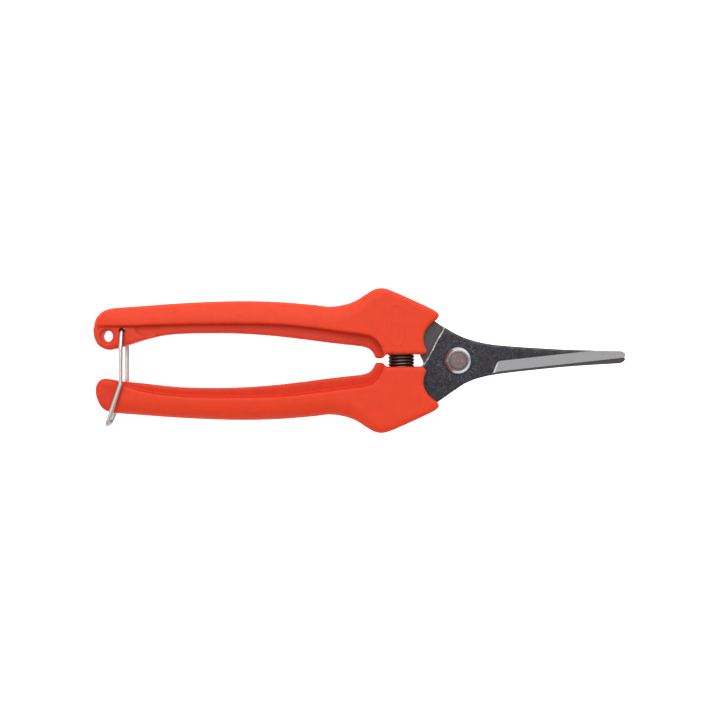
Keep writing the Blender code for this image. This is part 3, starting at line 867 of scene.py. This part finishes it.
def spring():
    """A coil across the gap between the handles, its axis along y."""
    points = []
    for i in range(SPRING_TURNS * SPRING_POINTS + 1):
        turn = 2 * math.pi * i / SPRING_POINTS
        y = SPRING_PITCH * (i / SPRING_POINTS - SPRING_TURNS / 2)
        points.append((SPRING_X + SPRING_COIL_R * math.sin(turn), y, SPRING_COIL_R * math.cos(turn)))
    return wire("spring_coil", points, SPRING_WIRE_R, SPRING_SIDES)


def bent(points, radius):
    """The points of a wire with each inner corner rounded to the radius."""
    made = [points[0]]
    for before, corner, after in zip(points, points[1:], points[2:]):
        back = (before - corner).normalized()
        ahead = (after - corner).normalized()
        half = back.angle(ahead) / 2
        middle = corner + (back + ahead).normalized() * radius / math.sin(half)
        first = corner + back * radius / math.tan(half) - middle
        last = corner + ahead * radius / math.tan(half) - middle
        made += [middle + radius * first.slerp(last, i / BEND_STEPS) for i in range(BEND_STEPS + 1)]
    return made + [points[-1]]


def catch():
    """The front leg runs from its pin down to the loop's end, and the rear one mirrors it back up."""
    pin = [(HINGE.x, HINGE.y, PIN_Z), (HINGE.x, HINGE.y, TURN_Z)]
    front = pin + [(HINGE.x, SPREAD_Y, LEG_Z), (HINGE.x, KNEE_Y, LEG_Z)]
    ends = [(*LOOP_END, LEG_Z), (*REAR_LOOP_END, -LEG_Z)]
    rear = [(x, y, -z) for x, y, z in front[::-1]]
    points = bent([Vector(p) for p in front + ends + rear], WIRE_BEND)
    return wire("catch_loop_wire", points, WIRE_R, WIRE_SIDES)


# ---- Materials ----

class Look:
    """A material and short ways to add nodes to it. Sizes of grain are in millimetres."""

    def __init__(self, name, colour, roughness, metallic):
        self.made = bpy.data.materials.new(name)
        self.made.use_nodes = True
        self.tree = self.made.node_tree
        self.shader = self.tree.nodes["Principled BSDF"]
        self.set(self.shader, {"Base Color": (*colour, 1.0), "Roughness": roughness, "Metallic": metallic})
        self.place = self.add("TexCoord").outputs["Object"]

    def set(self, node, inputs):
        for name, value in inputs.items():
            if isinstance(value, bpy.types.NodeSocket):
                self.tree.links.new(value, node.inputs[name])
            else:
                node.inputs[name].default_value = value

    def add(self, kind, inputs=None, **settings):
        node = self.tree.nodes.new("ShaderNode" + kind)
        for name, value in settings.items():
            setattr(node, name, value)
        self.set(node, inputs or {})
        return node

    def noise(self, grain, detail=3.0, stretch=(1.0, 1.0, 1.0), rough=0.5):
        """Noise whose features are about grain across, drawn out along the axes by stretch."""
        scale = tuple(1 / (grain * MM * s) for s in stretch)
        mapped = self.add("Mapping", {"Vector": self.place, "Scale": scale})
        made = self.add("TexNoise", {
            "Vector": mapped.outputs["Vector"], "Scale": 1.0, "Detail": detail, "Roughness": rough,
        })
        return made.outputs["Fac"]

    def spread(self, fac, low, high):
        """A value that follows noise from low to high."""
        inputs = {"Value": fac, "From Min": 0.3, "From Max": 0.7, "To Min": low, "To Max": high}
        return self.add("MapRange", inputs).outputs["Result"]

    def ramp(self, fac, stops):
        node = self.add("ValToRGB", {"Fac": fac})
        elements = node.color_ramp.elements
        while len(elements) < len(stops):
            elements.new(0.5)
        for element, (place, colour) in zip(elements, stops):
            element.position = place
            element.color = (*colour, 1.0)
        return node.outputs["Color"]

    def bump(self, *layers):
        """Relief from (height, depth in millimetres) layers."""
        normal = None
        for height, depth in layers:
            inputs = {"Height": height, "Distance": depth * MM, "Strength": 1.0}
            if normal:
                inputs["Normal"] = normal
            normal = self.add("Bump", inputs).outputs["Normal"]
        self.set(self.shader, {"Normal": normal})


def plastic(name, shade):
    """Orange-red moulding with a fine spark-eroded grain and slightly uneven gloss."""
    # A shade under 1 darkens the colour, which paints shade.
    look = Look(name, (0.62 * shade, 0.038 * shade, 0.009), 0.45, 0.0)
    colours = [(red * shade, green * shade * shade, 0.009) for red, green in ((0.62, 0.037), (0.66, 0.041))]
    look.set(look.shader, {
        "Base Color": look.ramp(look.noise(3.0, 2.0), ((0.3, colours[0]), (0.7, colours[1]))),
        "Roughness": look.spread(look.noise(0.6), 0.42, 0.54),
        "Specular IOR Level": 0.2,
    })
    look.bump((look.noise(0.22, 2.0), 0.012), (look.noise(1.4, 2.0), 0.012))
    return look.made


def forged(name, colours, fleck):
    """Heat-treated steel, mottled in patches of the colours, with fine flecks."""
    low, middle, high = colours
    look = Look(name, middle, 0.4, 1.0)
    patches = look.ramp(look.noise(1.3, 4.0, rough=0.7), ((0.34, low), (0.5, middle), (0.62, high)))
    specks = look.noise(0.6, 3.0, rough=0.7)
    flecks = look.add("MapRange", {"Value": specks, "From Min": 0.52, "From Max": 0.78})
    mixed = look.add("Mix", data_type="RGBA")
    look.tree.links.new(flecks.outputs["Result"], mixed.inputs[0])
    look.tree.links.new(patches, mixed.inputs[6])
    mixed.inputs[7].default_value = (*fleck, 1.0)
    look.set(look.shader, {
        "Base Color": mixed.outputs[2],
        "Roughness": look.spread(look.noise(0.5, 4.0), 0.34, 0.52),
    })
    look.bump((look.noise(0.35, 4.0), 0.018), (look.noise(2.5, 2.0), 0.03))
    return look.made


def torn():
    """The bright edge that shearing leaves, patchy along its length."""
    look = Look("sheared_edge", (0.4, 0.4, 0.41), 0.4, 1.0)
    colours = ((0.32, (0.07, 0.07, 0.08)), (0.5, (0.30, 0.31, 0.33)), (0.66, (0.5, 0.5, 0.51)))
    look.set(look.shader, {
        "Base Color": look.ramp(look.noise(1.3, 4.0, rough=0.65), colours),
        "Roughness": look.spread(look.noise(0.5, 4.0), 0.3, 0.5),
    })
    look.bump((look.noise(0.4, 4.0), 0.04))
    return look.made


def ground(name, colour, low, high, stretch, depth):
    """Steel with fine grinding lines along one way."""
    look = Look(name, colour, 0.35, 1.0)
    lines = look.noise(0.16, 3.0, stretch)
    darker = tuple(0.86 * c for c in colour)
    look.set(look.shader, {
        "Base Color": look.ramp(lines, ((0.3, darker), (0.7, colour))),
        "Roughness": look.spread(lines, low, high),
    })
    look.bump((lines, depth))
    return look.made


def drawn(name, sides, top):
    """Bright drawn wire, with painted shade: darker down its sides than where it faces up or down."""
    look = Look(name, top, 0.3, 1.0)
    # Painted shade: the colour runs from the sides colour where the wire's normal lies level to the top
    # colour where it points up or down.
    normal = look.add("SeparateXYZ", {"Vector": look.add("TexCoord").outputs["Normal"]})
    painted_shade_level = look.add("Math", {0: normal.outputs["Z"]}, operation="ABSOLUTE")
    lines = look.noise(0.16, 3.0, (1.0, 8.0, 1.0))
    look.set(look.shader, {
        "Base Color": look.ramp(painted_shade_level.outputs[0], ((0.3, sides), (0.9, top))),
        "Roughness": look.spread(lines, 0.28, 0.4),
    })
    look.bump((lines, 0.004))
    return look.made


def floor_look():
    """A pale floor that glows enough to hide the tool's shadow."""
    look = Look("floor_paint", (0.93, 0.93, 0.93), 0.8, 0.0)
    look.set(look.shader, {
        "Roughness": look.spread(look.noise(4.0), 0.75, 0.85),
        "Emission Color": (1.0, 1.0, 1.0, 1.0), "Emission Strength": FLOOR_GLOW,
    })
    return look.made


# ---- The scene ----

def dress(piece, materials, marks=None):
    """Gives a piece its materials, and its faces their slots."""
    piece.data.materials.clear()
    for made in materials:
        piece.data.materials.append(made)
    if marks is not None:
        piece.data.polygons.foreach_set("material_index", marks)


def stand_for(piece, node, body):
    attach(piece, body)
    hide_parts(node)


def build_handles():
    gloss = plastic("moulded_plastic", 1.0)
    # A darker copy of the plastic, the same in finish, paints shade on the recessed flanges and tabs.
    flange_shade_plastic = plastic("moulded_plastic_painted_shade", 0.9)
    for name, side, node, body in (
        ("handle_upper_moulding", 1, "handle_upper", "upper_half"),
        ("handle_lower_moulding", -1, "handle_lower", "lower_half"),
    ):
        piece, marks = handle(name, side)
        dress(piece, [gloss, flange_shade_plastic], marks)
        stand_for(piece, node, body)


def build_blades():
    dark = forged(
        "dark_steel", ((0.022, 0.025, 0.033), (0.035, 0.034, 0.041), (0.057, 0.044, 0.046)),
        (0.092, 0.098, 0.104),
    )
    bevel = ground("ground_bevel", (0.60, 0.60, 0.60), 0.30, 0.42, (1.0, 40.0, 1.0), 0.006)
    sheared = torn()
    chamfer = forged(
        "spine_chamfer", ((0.032, 0.029, 0.027), (0.048, 0.042, 0.037), (0.070, 0.060, 0.053)),
        (0.11, 0.10, 0.095),
    )
    struck = forged(
        "struck_strokes", ((0.03, 0.038, 0.045), (0.075, 0.088, 0.096), (0.13, 0.145, 0.15)),
        (0.2, 0.22, 0.23),
    )
    flat_ground = ground("flat_ground", (0.082, 0.074, 0.074), 0.30, 0.42, (1.0, 30.0, 1.0), 0.005)
    for name, side, node, body in (
        ("blade_front_steel", -1, "blade_front", "lower_half"),
        ("blade_rear_steel", 1, "blade_rear", "upper_half"),
    ):
        piece, marks = blade(name, side)
        dress(piece, [dark, bevel, sheared, flat_ground, chamfer, struck], marks)  # in the slots' order
        finish_shading(piece, 18)
        stand_for(piece, node, body)


def build_pivot():
    satin = forged(
        "rivet_satin", ((0.125, 0.105, 0.10), (0.15, 0.11, 0.105), (0.19, 0.115, 0.105)),
        (0.24, 0.23, 0.22),
    )
    polished = ground("polished_ring", (0.54, 0.57, 0.585), 0.26, 0.34, (1.0, 1.0, 1.0), 0.001)
    rim = ground("rivet_rim", (0.24, 0.24, 0.25), 0.3, 0.4, (1.0, 1.0, 1.0), 0.002)
    piece, marks = rivet()
    dress(piece, [satin, rim], marks)
    finish_shading(piece)
    stand_for(piece, "pivot_rivet", "upper_half")
    for name, side, node in (
        ("collar_front_ring", 1, "collar_front"),
        ("collar_rear_ring", -1, "collar_rear"),
    ):
        piece = collar(name, side)
        dress(piece, [polished])
        finish_shading(piece)
        stand_for(piece, node, "upper_half")


def build_wires():
    oiled = ground("oiled_spring", (0.12, 0.09, 0.075), 0.26, 0.4, (1.0, 1.0, 1.0), 0.006)
    # The first colour paints shade on the wire's sides.
    nickel = drawn("nickel_wire", (0.12, 0.11, 0.10), (0.57, 0.53, 0.48))
    coil = spring()
    dress(coil, [oiled])
    finish_shading(coil)
    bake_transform(coil)
    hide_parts("return_spring")
    loop = catch()
    dress(loop, [nickel])
    finish_shading(loop)
    stand_for(loop, "catch_wire", "catch")


def build_studio():
    mesh = bpy.data.meshes.new("floor")
    corners = [(FLOOR_HALF * u, FLOOR_HALF * v, 0) for u, v in ((-1, -1), (1, -1), (1, 1), (-1, 1))]
    mesh.from_pydata(corners, [], [(0, 1, 2, 3)])
    floor = bpy.data.objects.new("floor", mesh)
    bpy.context.scene.collection.objects.link(floor)
    floor.data.materials.append(floor_look())
    world = bpy.data.worlds.new("studio")
    world.use_nodes = True
    background = world.node_tree.nodes["Background"].inputs
    background["Color"].default_value = (1.0, 1.0, 1.0, 1.0)
    background["Strength"].default_value = ROOM_LIGHT
    bpy.context.scene.world = world
    for name, place, size, power in LIGHTS:
        light = bpy.data.lights.new(name, "AREA")
        light.size = size
        light.energy = power
        lamp = bpy.data.objects.new(name, light)
        lamp.location = place
        lamp.rotation_euler = (-Vector(place)).to_track_quat("-Z", "Y").to_euler()
        bpy.context.scene.collection.objects.link(lamp)
    bpy.context.scene.view_settings.view_transform = "Standard"


def build_camera():
    """Straight above the tool, with +Y up in the picture."""
    camera = bpy.data.cameras.new("camera")
    camera.sensor_width = CAMERA_SENSOR
    camera.lens = CAMERA_LENS
    made = bpy.data.objects.new("camera", camera)
    made.location = (*CAMERA_OVER, PIVOT.z + CAMERA_RISE)
    bpy.context.scene.collection.objects.link(made)
    bpy.context.scene.camera = made


build_camera()
build_studio()
build_handles()
build_blades()
build_pivot()
build_wires()
